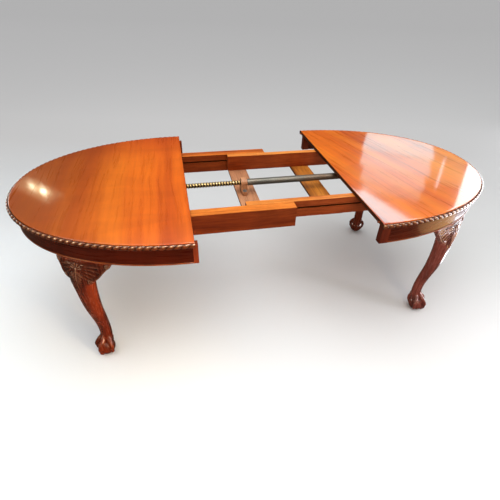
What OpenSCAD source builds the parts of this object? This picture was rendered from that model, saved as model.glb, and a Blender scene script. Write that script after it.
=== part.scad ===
// Wind-out extending dining table, drawn open with no leaves fitted.
// Each half is a D-shaped top on a curved apron with two cabriole legs.
// The left half carries the outer slide rails and the long screw.
// The right half carries the inner slide rails, the nut and the cover tube.
// X runs along the table, Y across it, Z up.  The origin is on the floor
// under the middle of the open table.

/* [Table] */
// Height of the top surface above the floor
table_h = 750; // [700:1:780]
// Distance between the two straight edges when open
leaf_gap = 804; // [780:1:804]
// Length of one D-shaped half, from straight edge to tip
half_len = 820; // [812:1:850]
// Half of the table's width
half_wid = 593; // [585:1:610]
// Squareness of the outline, 2 is a plain ellipse
outline_n = 2.08; // [2:0.02:2.2]

/* [Top] */
// Thickness of the top boards
top_t = 19.5; // [16:0.5:22]
// Width of the gadrooned edge moulding
edge_w = 14; // [10:1:18]
// Drop of the edge moulding below the underside of the top
edge_drop = 4.5; // [2:0.5:8]
// Diameter of the turned hardwood leaf pegs
peg_d = 8; // [6:0.5:10]
// How far the leaf pegs stand out of the edge
peg_out = 10; // [8:1:12]

/* [Apron] */
// Setback of the apron face behind the outline
apron_in = 27; // [22:1:32]
// Thickness of the apron
apron_t = 28; // [24:1:30]
// Height of the underside of the apron
apron_z = 635; // [630:1:650]
// How far the left end blocks stand past the straight edge
block_out = 13; // [8:1:16]

/* [Slides] */
// Underside of the outer rails
outer_z = 629.5; // [628:0.5:632]
// Underside of the inner rails
inner_z = 642.5; // [640:0.5:645]
// Inner face of the outer rails, measured from the middle
outer_y = 300; // [290:1:310]
// Thickness of the outer rails
outer_t = 56; // [45:1:56]
// Thickness of the inner rails
inner_t = 35.5; // [30:0.5:40]
// Height of the groove in the rails
groove_h = 9; // [7:0.5:12]
// Depth of the groove in the rails
groove_d = 8; // [6:0.5:10]

/* [Screw] */
// Height of the screw above the floor
screw_z = 695; // [690:1:698]
// Outside diameter of the thread
screw_d = 26; // [24:1:28]
// Outside diameter of the cover tube
tube_d = 35; // [33:1:38]

/* [Legs] */
// Foot centre along the table
foot_x = 882; // [876:1:890]
// Foot centre across the table
foot_y = 422; // [418:1:426]
// Width of the square post behind the apron
post_w = 50; // [44:1:50]

/* [Hidden] */
$fn = 48;
ex = leaf_gap / 2;
uz = table_h - top_t;
nd = 96;
slip = 0.5;
leg_nx = 0.483;
leg_ny = 0.876;
tie_t = 12.5;
board_t = 12;
tip_x = ex + half_len;
head_x = -960;
axis_end = tip_x - apron_in - apron_t - 10;

mahogany = [0.80, 0.38, 0.12];
red_brown = [0.42, 0.16, 0.07];
dark_wood = [0.32, 0.12, 0.06];
tan_wood = [0.76, 0.60, 0.42];
brass = [0.80, 0.66, 0.30];
steel = [0.52, 0.56, 0.53];

// ---- outline helpers -------------------------------------------------

// half outline, from the front end of the straight edge round to the back,
// inset by i and starting cut away from the straight edge
function d_pt(i, t) = [
  (half_len - i) * pow(max(cos(t), 0), 2 / outline_n),
  (half_wid - i) * pow(abs(sin(t)), 2 / outline_n) * sign(t)];
function d_end(i, cut) = acos(pow(cut / (half_len - i), outline_n / 2));
function d_pts(i, cut = 0) = let(e = d_end(i, cut))
  [for (k = [0:nd]) d_pt(i, e * (2 * k / nd - 1))];
function place(s, p) = [for (q = p) [s * (ex + q[0]), q[1]]];

module d_shape(s, i, cut = 0) polygon(place(s, d_pts(i, cut)));

module d_ring(s, i1, i2, cut = 0) {
  o = d_pts(i1, cut);
  n = d_pts(i2, cut);
  polygon(place(s, concat(o, [for (k = [nd:-1:0]) n[k]])));
}

module ring(s, i1, i2, z1, z2, cut = 0)
  translate([0, 0, z1]) linear_extrude(z2 - z1) d_ring(s, i1, i2, cut);

module box(x1, x2, y1, y2, z1, z2)
  translate([x1, y1, z1]) cube([x2 - x1, y2 - y1, z2 - z1]);

module rod_x(x1, x2, d, y = 0, z = screw_z)
  translate([x1, y, z]) rotate([0, 90, 0]) cylinder(h = x2 - x1, d = d);

module rod_z(x, y, z1, z2, d) translate([x, y, z1]) cylinder(h = z2 - z1, d = d);

// ---- tops ------------------------------------------------------------

// wood screw positions that hold each top to its rails
outer_screws = [for (x = [-880, -500], s = [-1, 1]) [x, s * 328]];
inner_screws = [for (x = [880, 500], s = [-1, 1]) [x, s * 277]];

module top_panel(s, pilots) {
  difference() {
    translate([0, 0, uz]) linear_extrude(top_t) d_shape(s, edge_w);
    for (p = pilots) rod_z(p[0], p[1], uz - 1, uz + 14, 5);
    for (w = [-548, 548])
      rod_x(s < 0 ? -ex - 14 : ex, s < 0 ? -ex + 1 : ex + 20,
            s < 0 ? peg_d + 0.4 : peg_d, w, uz + 9.5);
  }
}

module gadroon_edge(s) {
  z1 = uz - edge_drop;
  z2 = table_h - 0.5;
  ring(s, 6, edge_w, z1, z1 + 2);
  ring(s, 2.5, edge_w, z1 + 2, z1 + 5);
  ring(s, 0, edge_w, z1 + 5, z2 - 4.5);
  ring(s, 2.5, edge_w, z2 - 4.5, z2 - 1.5);
  ring(s, 5.5, edge_w, z2 - 1.5, z2);
}

module left_top() color(mahogany) top_panel(-1, outer_screws);
module right_top() color(mahogany) top_panel(1, inner_screws);
module left_gadroon_edge() color(red_brown) gadroon_edge(-1);
module right_gadroon_edge() color(red_brown) gadroon_edge(1);

module leaf_pegs() color(red_brown)
  for (w = [-548, 548]) rod_x(ex - peg_out, ex + 20, peg_d - 0.1, w, uz + 9.5);

// screw: head hidden in a deep counterbore, shank up into the top
module top_screw(x, y) {
  rod_z(x, y, 681, 685, 10);
  rod_z(x, y, 685, uz + 13.5, 4.8);
}
module left_top_screws() color(steel) for (p = outer_screws) top_screw(p[0], p[1]);
module right_top_screws() color(steel) for (p = inner_screws) top_screw(p[0], p[1]);

// ---- aprons ----------------------------------------------------------

ai2 = apron_in + apron_t;
left_cut = 8;
right_cut = 54;

module left_apron() color(red_brown) difference() {
  ring(-1, apron_in, ai2, apron_z, uz, left_cut);
  rod_x(-tip_x, -tip_x + 70, 26);
  rod_x(-tip_x, -tip_x + apron_in + 2, 36.4);
}
module right_apron() color(red_brown) ring(1, apron_in, ai2, apron_z, uz, right_cut);

module left_apron_bead() color(dark_wood)
  ring(-1, apron_in - 3, apron_in, apron_z, apron_z + 7, left_cut);
module right_apron_bead() color(dark_wood)
  ring(1, apron_in - 3, apron_in, apron_z, apron_z + 7, right_cut);

// square blocks that end the aprons beside the leaf gap
module end_blocks(x1, x2) for (s = [-1, 1]) {
  y1 = half_wid - apron_in - 31;
  y2 = half_wid - apron_in;
  box(x1, x2, s > 0 ? y1 : -y2, s > 0 ? y2 : -y1, apron_z - 1, uz - 3);
}
module left_apron_end_blocks() color(dark_wood)
  end_blocks(-ex - left_cut, -ex + block_out);
module right_apron_end_blocks() color(dark_wood)
  end_blocks(ex + block_out, ex + right_cut);

// short cross rails between the slides and the apron ends
module stub_rails(x1, x2, y1, y2) for (s = [-1, 1])
  box(x1, x2, s > 0 ? y1 : -y2, s > 0 ? y2 : -y1, 660, uz);
module left_stub_rails() color(red_brown) intersection() {
  stub_rails(-ex - 33, -ex - 8.5, outer_y + outer_t, half_wid - ai2 + 3);
  translate([0, 0, 650]) linear_extrude(90) d_shape(-1, ai2, left_cut);
}
module right_stub_rails() color(red_brown) intersection() {
  stub_rails(ex + 72, ex + 97, outer_y + outer_t + 1.5, half_wid - ai2 + 3);
  translate([0, 0, 650]) linear_extrude(90) d_shape(1, ai2, right_cut);
}

// rubbed glue blocks behind the apron
module glue_blocks(s, cut) intersection() {
  translate([0, 0, uz - 46]) linear_extrude(46) d_shape(s, ai2, cut);
  for (t = [-75, -62, -20, 20, 62, 75]) {
    p = d_pt(ai2, t);
    translate([s * (ex + p[0]), p[1], uz - 45])
      rotate(atan2(p[1] / pow(half_wid, 2) * pow(half_len, 2), s * p[0]))
        translate([-24, -22, 0]) cube([48, 44, 45]);
  }
}
module left_glue_blocks() color(tan_wood) glue_blocks(-1, left_cut);
module right_glue_blocks() color(tan_wood) glue_blocks(1, right_cut);

// ---- slide rails -----------------------------------------------------

gz = uz - 38;

// rail with its top relieved where it runs under the other half
module rail(x1, x2, xr, own_right, y1, y2, z1) {
  box(x1, x2, y1, y2, z1, uz - slip);
  if (own_right) box(xr, x2, y1, y2, uz - slip - 1, uz);
  else box(x1, xr, y1, y2, uz - slip - 1, uz);
}

module outer_rail(s) difference() {
  y1 = s > 0 ? outer_y : -outer_y - outer_t;
  rail(head_x, 88, -ex, false, y1, y1 + outer_t, outer_z);
  yg = s > 0 ? outer_y - 1 : -outer_y - groove_d;
  box(head_x + 12, 89, yg, yg + groove_d + 1, gz - groove_h / 2, gz + groove_h / 2);
  for (p = outer_screws) if (p[1] * s > 0) {
    rod_z(p[0], p[1], outer_z - 1, 685, 14);
    rod_z(p[0], p[1], 680, uz + 1, 5);
  }
}
module outer_rail_front() color(mahogany) outer_rail(-1);
module outer_rail_back() color(mahogany) outer_rail(1);

iy2 = outer_y - slip;
iy1 = iy2 - inner_t;
board_screws = [for (x = [-110, -55, 275, 335], s = [-1, 1]) [x, s * 273]];

module inner_rail(s) difference() {
  y1 = s > 0 ? iy1 : -iy2;
  rail(-139, 950, ex, true, y1, y1 + inner_t, inner_z);
  yg = s > 0 ? iy2 - groove_d : -iy2 - 1;
  box(-140, 938, yg, yg + groove_d + 1, gz - groove_h / 2, gz + groove_h / 2);
  for (p = inner_screws) if (p[1] * s > 0) {
    rod_z(p[0], p[1], inner_z - 1, 685, 14);
    rod_z(p[0], p[1], 680, uz + 1, 5);
  }
  for (p = board_screws) if (p[1] * s > 0) rod_z(p[0], p[1], inner_z - 1, 667, 4.4);
}
module inner_rail_front() color(mahogany) inner_rail(-1);
module inner_rail_back() color(mahogany) inner_rail(1);

// hardwood tongues; one pair meets the other at full reach and stops the slide
module tongues(x1, x2, y1, y2) for (s = [-1, 1])
  box(x1, x2, s > 0 ? y1 : -y2, s > 0 ? y2 : -y1, gz - groove_h / 2 + 0.2, gz + groove_h / 2 - 0.2);
module outer_rail_tongues() color(tan_wood)
  tongues(-25, 88, iy2 - groove_d + 0.5, outer_y + groove_d);
module inner_rail_tongues() color(tan_wood)
  tongues(-139, -25.5, iy2 - groove_d, outer_y + groove_d - 0.5);

module left_head_rail() color(mahogany) difference() {
  box(head_x - 25, head_x, -outer_y - outer_t, outer_y + outer_t, 640, uz);
  rod_x(head_x - 26, head_x + 1, 26);
}
module left_cross_tie() color(mahogany)
  box(-650, -590, -outer_y - outer_t, outer_y + outer_t, outer_z - tie_t, outer_z);

module cross_board(x1, x2) difference() {
  box(x1, x2, -iy2 + 16.5, iy2 - 16.5, inner_z - board_t, inner_z);
  for (p = board_screws) if (p[0] > x1 && p[0] < x2) {
    rod_z(p[0], p[1], inner_z - board_t - 1, inner_z + 1, 4.4);
    rod_z(p[0], p[1], inner_z - board_t - 1, inner_z - board_t + 3.4, 9.4);
  }
  if (x1 < 0) for (s = [-1, 1]) rod_z(-96, s * 40, inner_z - board_t - 1, inner_z + 1, 8.2);
}
module cross_board_near() color(tan_wood) cross_board(-135, -30);
module cross_board_far() color(mahogany) cross_board(250, 360);
module cross_board_screws() color(steel) for (p = board_screws) {
  rod_z(p[0], p[1], inner_z - board_t + 0.4, inner_z - board_t + 3.2, 9);
  rod_z(p[0], p[1], inner_z - board_t + 3.2, 666, 4.2);
}

module tail_rail() color(mahogany) difference() {
  box(925, 950, -iy1, iy1, inner_z, uz);
  rod_x(924, 935, tube_d + 0.2);
}

// ---- screw, nut and tube ---------------------------------------------

module screw_bearing_plates() color(steel) for (x = [head_x - 31, head_x]) difference() {
  box(x, x + 6, -45, 45, 665, 725);
  rod_x(x - 1, x + 7, 20.1);
  for (y = [-34, 34], z = [680, 710]) rod_x(x - 1, x + 7, 5, y, z);
}
module bearing_plate_screws() color(steel)
  for (y = [-34, 34], z = [680, 710]) {
    rod_x(head_x - 35, head_x - 31, 10, y, z);
    rod_x(head_x - 31, head_x - 25, 4.8, y, z);
    rod_x(head_x + 6, head_x + 9, 10, y, z);
    rod_x(head_x, head_x + 6, 4.8, y, z);
  }

// journal, thrust collar, thread and squared end are one turned piece
module screw_rod() color(brass) {
  rod_x(head_x + 16, -40, screw_d);
  rod_x(head_x + 6.5, head_x + 16, 40);
  rod_x(-axis_end + 47, head_x + 6.5, 20);
  box(-axis_end, -axis_end + 47, -8, 8, screw_z - 8, screw_z + 8);
}
module screw_retaining_collar() color(steel) difference() {
  rod_x(head_x - 43, head_x - 35.5, 40);
  rod_x(head_x - 44, head_x - 35, 20);
}

module winder_ferrule() color(brass) difference() {
  union() {
    rod_x(-tip_x + apron_in - 1, -tip_x + apron_in + 2, 36);
    rod_x(-tip_x + apron_in + 2, -tip_x + ai2, 25.8);
  }
  rod_x(-tip_x + apron_in - 2, -tip_x + ai2 + 1, 22);
}

// saddle block that holds the nut over the near cross board
module nut_block() color(tan_wood) difference() {
  union() {
    rod_x(-112, -80, 54);
    box(-112, -80, -27, 27, inner_z, screw_z);
    box(-110, -82, -40, 40, inner_z, 664);
    for (s = [-1, 1]) rod_z(-96, s * 40, inner_z, 664, 28);
  }
  rod_x(-113, -79, screw_d + 0.6);
  for (s = [-1, 1]) rod_z(-96, s * 40, inner_z - 1, 665, 8.2);
}
module nut_bolts() color(steel) for (s = [-1, 1]) {
  rod_z(-96, s * 40, inner_z - board_t + 0.2, 664, 8);
  rod_z(-96, s * 40, 664, 666, 24);
  translate([-96, s * 40, 666]) cylinder(h = 5, d = 15, $fn = 6);
}

module screw_tube() color(steel) difference() {
  union() {
    rod_x(-74, 935, tube_d);
    rod_x(-80, -73, tube_d - 4);
  }
  rod_x(-81, 936, screw_d + 2.6);
}

// ---- legs ------------------------------------------------------------

// [height, centre offset outward, half depth, half width, squareness]
leg_rows = [
  [0, 0, 26, 26, 2.0], [6, 0, 35, 35, 2.0], [16, 0, 43, 42, 2.0],
  [30, 1, 48, 46, 2.0], [46, 1, 49, 47, 2.0], [62, 0, 46, 44, 2.0],
  [76, -3, 40, 39, 2.1], [90, -10, 31, 33, 2.2], [110, -20, 27, 30, 2.3],
  [135, -25, 25, 29, 2.4], [170, -23, 25, 29, 2.4], [215, -17, 27, 31, 2.4],
  [265, -8, 29, 34, 2.5], [320, 2, 31, 37, 2.5], [375, 8, 34, 41, 2.5],
  [430, 11, 35, 45, 2.6], [480, 12, 38, 50, 2.6], [530, 11, 42, 56, 2.7],
  [575, 5, 44, 59, 2.8], [610, -2, 44, 58, 3.0], [634, -5, 41, 55, 3.2]];
leg_n = 24;
post_in = -22;

function spow(v, e) = sign(v) * pow(abs(v), e);
function leg_ring(r) = [for (k = [0:leg_n - 1]) let(a = 360 * k / leg_n)
  [r[1] + r[2] * spow(cos(a), 2 / r[4]), r[3] * spow(sin(a), 2 / r[4]), r[0]]];
function post_ring(z) = [for (k = [0:leg_n - 1]) let(a = 360 * k / leg_n,
  m = (post_w / 2) / max(abs(cos(a)), abs(sin(a))))
  [post_in + m * cos(a), m * sin(a), z]];

module leg_body() {
  rings = concat([for (r = leg_rows) leg_ring(r)], [post_ring(apron_z), post_ring(uz)]);
  m = len(rings);
  polyhedron(
    points = concat([for (r = rings, p = r) p], [[0, 0, 0], [post_in, 0, uz]]),
    faces = concat(
      [for (k = [0:leg_n - 1]) [k, (k + 1) % leg_n, m * leg_n]],
      [for (k = [0:leg_n - 1])
        [(m - 1) * leg_n + (k + 1) % leg_n, (m - 1) * leg_n + k, m * leg_n + 1]],
      [for (j = [0:m - 2], k = [0:leg_n - 1])
        let(a = j * leg_n + k, b = j * leg_n + (k + 1) % leg_n)
        each [[a, a + leg_n, b], [b, a + leg_n, b + leg_n]]]),
    convexity = 6);
}

module at_leg(sx, sy) translate([sx * foot_x, sy * foot_y, 0])
  rotate(atan2(sy * leg_ny, sx * leg_nx)) children();

module leg_front_left() color(red_brown) at_leg(-1, -1) leg_body();
module leg_back_left() color(red_brown) at_leg(-1, 1) leg_body();
module leg_front_right() color(red_brown) at_leg(1, -1) leg_body();
module leg_back_right() color(red_brown) at_leg(1, 1) leg_body();

// shaped brackets glued each side of a knee, following the apron's curve
long_ear = [[40, 635], [174, 635], [174, 629], [166, 617], [148, 602], [125, 577],
            [104, 553], [84, 532], [64, 514], [40, 496]];
short_ear = [[40, 635], [86, 635], [86, 628], [78, 608], [75, 584], [75, 556],
             [68, 542], [56, 530], [40, 514]];
module knee_brackets(s) for (sy = [-1, 1]) intersection() {
  ring(s, apron_in, ai2, 480, apron_z, 20);
  at_leg(s, sy) for (m = [-1, 1])
    translate([-70, 0, 0]) rotate([90, 0, 90]) linear_extrude(120)
      polygon([for (p = (m == s * sy ? long_ear : short_ear)) [m * p[0], p[1]]]);
}
module left_knee_brackets() color(red_brown) knee_brackets(-1);
module right_knee_brackets() color(red_brown) knee_brackets(1);

left_top();
left_gadroon_edge();
left_apron();
left_apron_bead();
left_apron_end_blocks();
left_stub_rails();
left_glue_blocks();
outer_rail_front();
outer_rail_back();
outer_rail_tongues();
left_head_rail();
left_cross_tie();
leg_front_left();
leg_back_left();
left_knee_brackets();
screw_bearing_plates();
bearing_plate_screws();
winder_ferrule();
left_top_screws();
screw_rod();
screw_retaining_collar();
right_top();
right_gadroon_edge();
right_apron();
right_apron_bead();
right_apron_end_blocks();
right_stub_rails();
right_glue_blocks();
inner_rail_front();
inner_rail_back();
inner_rail_tongues();
cross_board_near();
cross_board_far();
cross_board_screws();
tail_rail();
leg_front_right();
leg_back_right();
right_knee_brackets();
nut_block();
nut_bolts();
screw_tube();
right_top_screws();
leaf_pegs();
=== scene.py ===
import math
import bpy
import bmesh
import numpy as np
from mathutils import Matrix, Vector


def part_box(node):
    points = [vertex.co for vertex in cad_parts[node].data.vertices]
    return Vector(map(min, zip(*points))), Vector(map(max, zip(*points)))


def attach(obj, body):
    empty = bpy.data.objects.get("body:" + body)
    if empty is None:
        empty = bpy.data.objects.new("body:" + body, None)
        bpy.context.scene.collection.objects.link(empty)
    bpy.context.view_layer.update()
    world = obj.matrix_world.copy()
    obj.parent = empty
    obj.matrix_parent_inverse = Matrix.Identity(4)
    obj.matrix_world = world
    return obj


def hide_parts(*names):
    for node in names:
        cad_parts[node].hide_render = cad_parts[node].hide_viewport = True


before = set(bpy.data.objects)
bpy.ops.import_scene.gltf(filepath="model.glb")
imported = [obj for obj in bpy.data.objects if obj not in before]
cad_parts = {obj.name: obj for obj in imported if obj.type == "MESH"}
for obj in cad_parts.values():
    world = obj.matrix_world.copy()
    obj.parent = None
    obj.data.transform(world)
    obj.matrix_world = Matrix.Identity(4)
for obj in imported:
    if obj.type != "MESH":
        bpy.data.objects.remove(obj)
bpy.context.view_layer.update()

# ------------------------------------------------------------------ sizes
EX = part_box("right_top")[0].x
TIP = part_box("right_gadroon_edge")[1].x
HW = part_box("right_gadroon_edge")[1].y
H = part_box("right_top")[1].z
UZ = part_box("right_top")[0].z
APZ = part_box("right_apron")[0].z
SCZ = (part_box("screw_rod")[0].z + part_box("screw_rod")[1].z) / 2
A, B, N = TIP - EX, HW, 2.08
FOOT = Vector((0.882, 0.422, 0.0))
N0 = np.array([0.483, 0.876]); N0 /= np.linalg.norm(N0)
T0 = np.array([-N0[1], N0[0]])
rng = np.random.default_rng(11)

# ---------------------------------------------------------------- materials


class Mat:
    """Small helper that builds a node material."""

    def __init__(self, name):
        m = bpy.data.materials.new(name)
        m.use_nodes = True
        self.m, self.t = m, m.node_tree
        self.t.nodes.clear()
        self.out = self.add("ShaderNodeOutputMaterial")
        self.b = self.add("ShaderNodeBsdfPrincipled")
        self.t.links.new(self.b.outputs[0], self.out.inputs["Surface"])

    def add(self, kind, **kw):
        n = self.t.nodes.new(kind)
        for k, v in kw.items():
            setattr(n, k, v)
        return n

    def link(self, a, b):
        self.t.links.new(a, b)

    def put(self, **kw):
        for k, v in kw.items():
            self.b.inputs[k.replace("_", " ")].default_value = v

    def coords(self, kind="Object", scale=(1, 1, 1), rot=(0, 0, 0), loc=(0, 0, 0)):
        tc = self.add("ShaderNodeTexCoord")
        mp = self.add("ShaderNodeMapping")
        mp.inputs["Scale"].default_value = scale
        mp.inputs["Rotation"].default_value = rot
        mp.inputs["Location"].default_value = loc
        self.link(tc.outputs[kind], mp.inputs["Vector"])
        return mp.outputs[0]

    def remap(self, vec, scale, rot=(0, 0, 0), loc=(0, 0, 0)):
        mp = self.add("ShaderNodeMapping")
        mp.inputs["Scale"].default_value = scale
        mp.inputs["Rotation"].default_value = rot
        mp.inputs["Location"].default_value = loc
        self.link(vec, mp.inputs["Vector"])
        return mp.outputs[0]

    def noise(self, vec, scale, detail=3.0, rough=0.5, dist=0.0, out="Fac"):
        n = self.add("ShaderNodeTexNoise")
        n.inputs["Scale"].default_value = scale
        n.inputs["Detail"].default_value = detail
        n.inputs["Roughness"].default_value = rough
        n.inputs["Distortion"].default_value = dist
        self.link(vec, n.inputs["Vector"])
        return n.outputs[out]

    def ramp(self, fac, stops, interp="LINEAR"):
        r = self.add("ShaderNodeValToRGB")
        r.color_ramp.interpolation = interp
        el = r.color_ramp.elements
        while len(el) < len(stops):
            el.new(0.5)
        for e, (p, c) in zip(el, stops):
            e.position = p
            e.color = c if len(c) == 4 else (*c, 1)
        self.link(fac, r.inputs["Fac"])
        return r.outputs["Color"]

    def mix(self, a, b, fac, blend="MIX"):
        n = self.add("ShaderNodeMix", data_type="RGBA", blend_type=blend)
        n.clamp_factor = True
        # Mix node repeats socket names by type, so take them by index
        f, ca, cb = n.inputs[0], n.inputs[6], n.inputs[7]
        for sock, v in ((f, fac), (ca, a), (cb, b)):
            if isinstance(v, (int, float)):
                sock.default_value = v
            elif isinstance(v, tuple):
                sock.default_value = v if len(v) == 4 else (*v, 1)
            else:
                self.link(v, sock)
        return n.outputs[2]

    def math(self, op, a, b=None, c=None, clamp=False):
        n = self.add("ShaderNodeMath", operation=op)
        n.use_clamp = clamp
        for i, v in enumerate((a, b, c)):
            if v is None:
                continue
            if isinstance(v, (int, float)):
                n.inputs[i].default_value = v
            else:
                self.link(v, n.inputs[i])
        return n.outputs[0]

    def span(self, v, a, b, c=0.0, d=1.0):
        n = self.add("ShaderNodeMapRange")
        n.inputs[1].default_value, n.inputs[2].default_value = a, b
        n.inputs[3].default_value, n.inputs[4].default_value = c, d
        self.link(v, n.inputs[0])
        return n.outputs[0]

    def bump(self, height, strength, dist, normal=None):
        n = self.add("ShaderNodeBump")
        n.inputs["Strength"].default_value = strength
        n.inputs["Distance"].default_value = dist
        self.link(height, n.inputs["Height"])
        if normal is not None:
            self.link(normal, n.inputs["Normal"])
        return n.outputs[0]

    def attr(self, name):
        n = self.add("ShaderNodeAttribute", attribute_name=name)
        return n.outputs["Fac"]


def wood(name, light, mid, dark, rot=(0, 0, 0), kind="Object", rough=0.35, coat=0.0, coat_rough=0.08,
         figure=0.25, streak=0.45, pore=0.35, bump=0.12, loc=(0, 0, 0), cavity_shade=None, cavity_shade_col=None,
         stretch=0.05, band=8.0, wear=None, spec=0.5, coat_ior=1.5, side=None, tint=None, painted_highlight=None, groove_shade=None,
         field=None, painted_shade_grades=(), ticks=0.6):
    """Mahogany: bands, fine streaks and pores drawn out along local X, with a soft cross figure."""
    m = Mat(name)
    v = m.coords(kind, rot=rot, loc=loc)
    warp = m.noise(v, 1.7, 2.0, out="Color")
    wv = m.add("ShaderNodeVectorMath", operation="MULTIPLY_ADD")
    m.link(warp, wv.inputs[0])
    wv.inputs[1].default_value = (0.05, 0.05, 0.05)
    m.link(v, wv.inputs[2])
    vv = wv.outputs[0]
    sv = m.remap(vv, (stretch, 1, 1))
    bands = m.noise(sv, band, 3.0, 0.55)
    fine = m.noise(sv, band * 8, 6.0, 0.62, 0.3)
    thin = m.noise(m.remap(vv, (0.022, 1, 1)), 260, 3.0, 0.6)
    pores = m.noise(m.remap(v, (0.035, 1, 1)), 620, 2.0, 0.5)
    fig = m.noise(m.remap(vv, (1.0, 0.35, 0.35)), 11.0, 2.0, 0.5, 0.6)
    c = m.ramp(bands, [(0.30, dark), (0.47, mid), (0.66, light)])
    c2 = m.ramp(fine, [(0.28, (0.42, 0.36, 0.34)), (0.52, (0.86, 0.84, 0.82)), (0.75, (1.12, 1.12, 1.12))])
    c = m.mix(c, c2, streak, "MULTIPLY")
    c3 = m.ramp(thin, [(0.35, (0.55, 0.48, 0.44)), (0.6, (1, 1, 1))])
    c = m.mix(c, c3, streak * ticks, "MULTIPLY")
    pm = m.ramp(pores, [(0.34, (0.30, 0.22, 0.20)), (0.42, (1, 1, 1))])
    c = m.mix(c, pm, pore, "MULTIPLY")
    c4 = m.ramp(fig, [(0.36, (0.62, 0.55, 0.5)), (0.62, (1.15, 1.15, 1.15))])
    c = m.mix(c, c4, figure, "MULTIPLY")
    # painted shade: the colour is darkened along a world axis, with a soft edge
    for axis, a, b, colour in painted_shade_grades:
        gs = m.add("ShaderNodeSeparateXYZ")
        m.link(m.coords(kind), gs.inputs[0])
        gw = m.math("ADD", gs.outputs[axis], m.math("MULTIPLY", m.math("SUBTRACT", bands, 0.5), 0.25))
        gr = m.add("ShaderNodeMapRange", interpolation_type="SMOOTHSTEP")
        gr.inputs[1].default_value, gr.inputs[2].default_value = a, b
        m.link(gw, gr.inputs[0])
        c = m.mix(c, colour, gr.outputs[0], "MULTIPLY")
    if field:
        c = m.mix(c, field, m.attr("field"), "MULTIPLY")
    # painted highlight: a paler colour laid where the crest attribute is high
    if painted_highlight:
        c = m.mix(c, painted_highlight, m.math("MULTIPLY", m.attr("painted_highlight"), m.span(fine, 0.3, 0.6, 0.55, 1.0)))
    # painted shade: the cavity attribute darkens hollows, gaps and undersides towards a near-black colour
    if cavity_shade:
        cavity_shade_fac = m.attr(cavity_shade)
        c = m.mix(c, cavity_shade_col or (0.02, 0.008, 0.005), m.span(cavity_shade_fac, 0.1, 0.95, 0.0, 0.88))
    # painted shade: faces that stand upright are darkened by the side colour, so tops read lighter than sides
    if side:
        g = m.add("ShaderNodeNewGeometry")
        sz = m.add("ShaderNodeSeparateXYZ")
        m.link(g.outputs["Normal"], sz.inputs[0])
        c = m.mix(c, side, m.span(m.math("ABSOLUTE", sz.outputs[2]), 0.85, 0.35), "MULTIPLY")
    if groove_shade:                         # painted shade in the slide grooves: a dark band along each groove
        gv = m.add("ShaderNodeSeparateXYZ")
        m.link(m.coords("Object"), gv.inputs[0])
        zz = m.math("LESS_THAN", m.math("ABSOLUTE", m.math("SUBTRACT", gv.outputs[2], UZ - 0.038)), 0.0049)
        dy = m.math("ABSOLUTE", m.math("SUBTRACT", m.math("ABSOLUTE", gv.outputs[1]), 0.29975))
        yy = m.math("MULTIPLY", m.math("GREATER_THAN", dy, 0.0006), m.math("LESS_THAN", dy, 0.0088))
        c = m.mix(c, groove_shade, m.math("MULTIPLY", zz, yy), "MULTIPLY")
    if wear:
        wn = m.noise(v, 38.0, 5.0, 0.65)
        c = m.mix(c, wear, m.span(wn, 0.6, 0.78, 0.0, 0.35))
    m.link(c, m.b.inputs["Base Color"])
    r = m.span(fine, 0.3, 0.7, max(rough - 0.07, 0.02), rough + 0.09)
    m.link(r, m.b.inputs["Roughness"])
    h = m.math("ADD", m.math("MULTIPLY", pores, 0.6), m.math("MULTIPLY", thin, 0.4))
    m.link(m.bump(h, bump, 0.0004), m.b.inputs["Normal"])
    # painted shade: the coat is thinned in the same hollows, so they hold little reflection
    if cavity_shade:
        m.link(m.span(m.attr(cavity_shade), 0.1, 0.85, coat, coat * 0.12), m.b.inputs["Coat Weight"])
    m.put(Coat_Weight=coat, Coat_Roughness=coat_rough, Coat_IOR=coat_ior, Specular_IOR_Level=spec)
    if tint:
        m.put(Specular_Tint=(*tint, 1))
    return m.m


def metal(name, c1, c2, rough=0.35, metallic=1.0, scale=30.0, streak=(1, 1, 1), bump=0.1, cavity_shade=None, cavity_shade_col=(0.02, 0.015, 0.01), extra=None):
    m = Mat(name)
    v = m.coords("Object")
    n1 = m.noise(m.remap(v, streak), scale, 5.0, 0.6)
    n2 = m.noise(v, scale * 6, 4.0, 0.6)
    c = m.ramp(n1, [(0.3, c2), (0.62, c1)])
    c = m.mix(c, m.ramp(n2, [(0.35, (0.6, 0.58, 0.55)), (0.6, (1, 1, 1))]), 0.45, "MULTIPLY")
    if extra:
        c = extra(m, v, c)
    # painted shade: the cavity attribute darkens the hollows
    if cavity_shade:
        c = m.mix(c, cavity_shade_col, m.span(m.attr(cavity_shade), 0.15, 0.9, 0.0, 0.95))
    m.link(c, m.b.inputs["Base Color"])
    m.link(m.span(n1, 0.3, 0.7, rough + 0.12, rough - 0.08), m.b.inputs["Roughness"])
    m.link(m.bump(n2, bump, 0.0004), m.b.inputs["Normal"])
    m.put(Metallic=metallic)
    return m.m


R90 = math.pi / 2
M = {}
# polished tops: grain runs across the table
WARM = (1.0, 0.55, 0.28)
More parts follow.
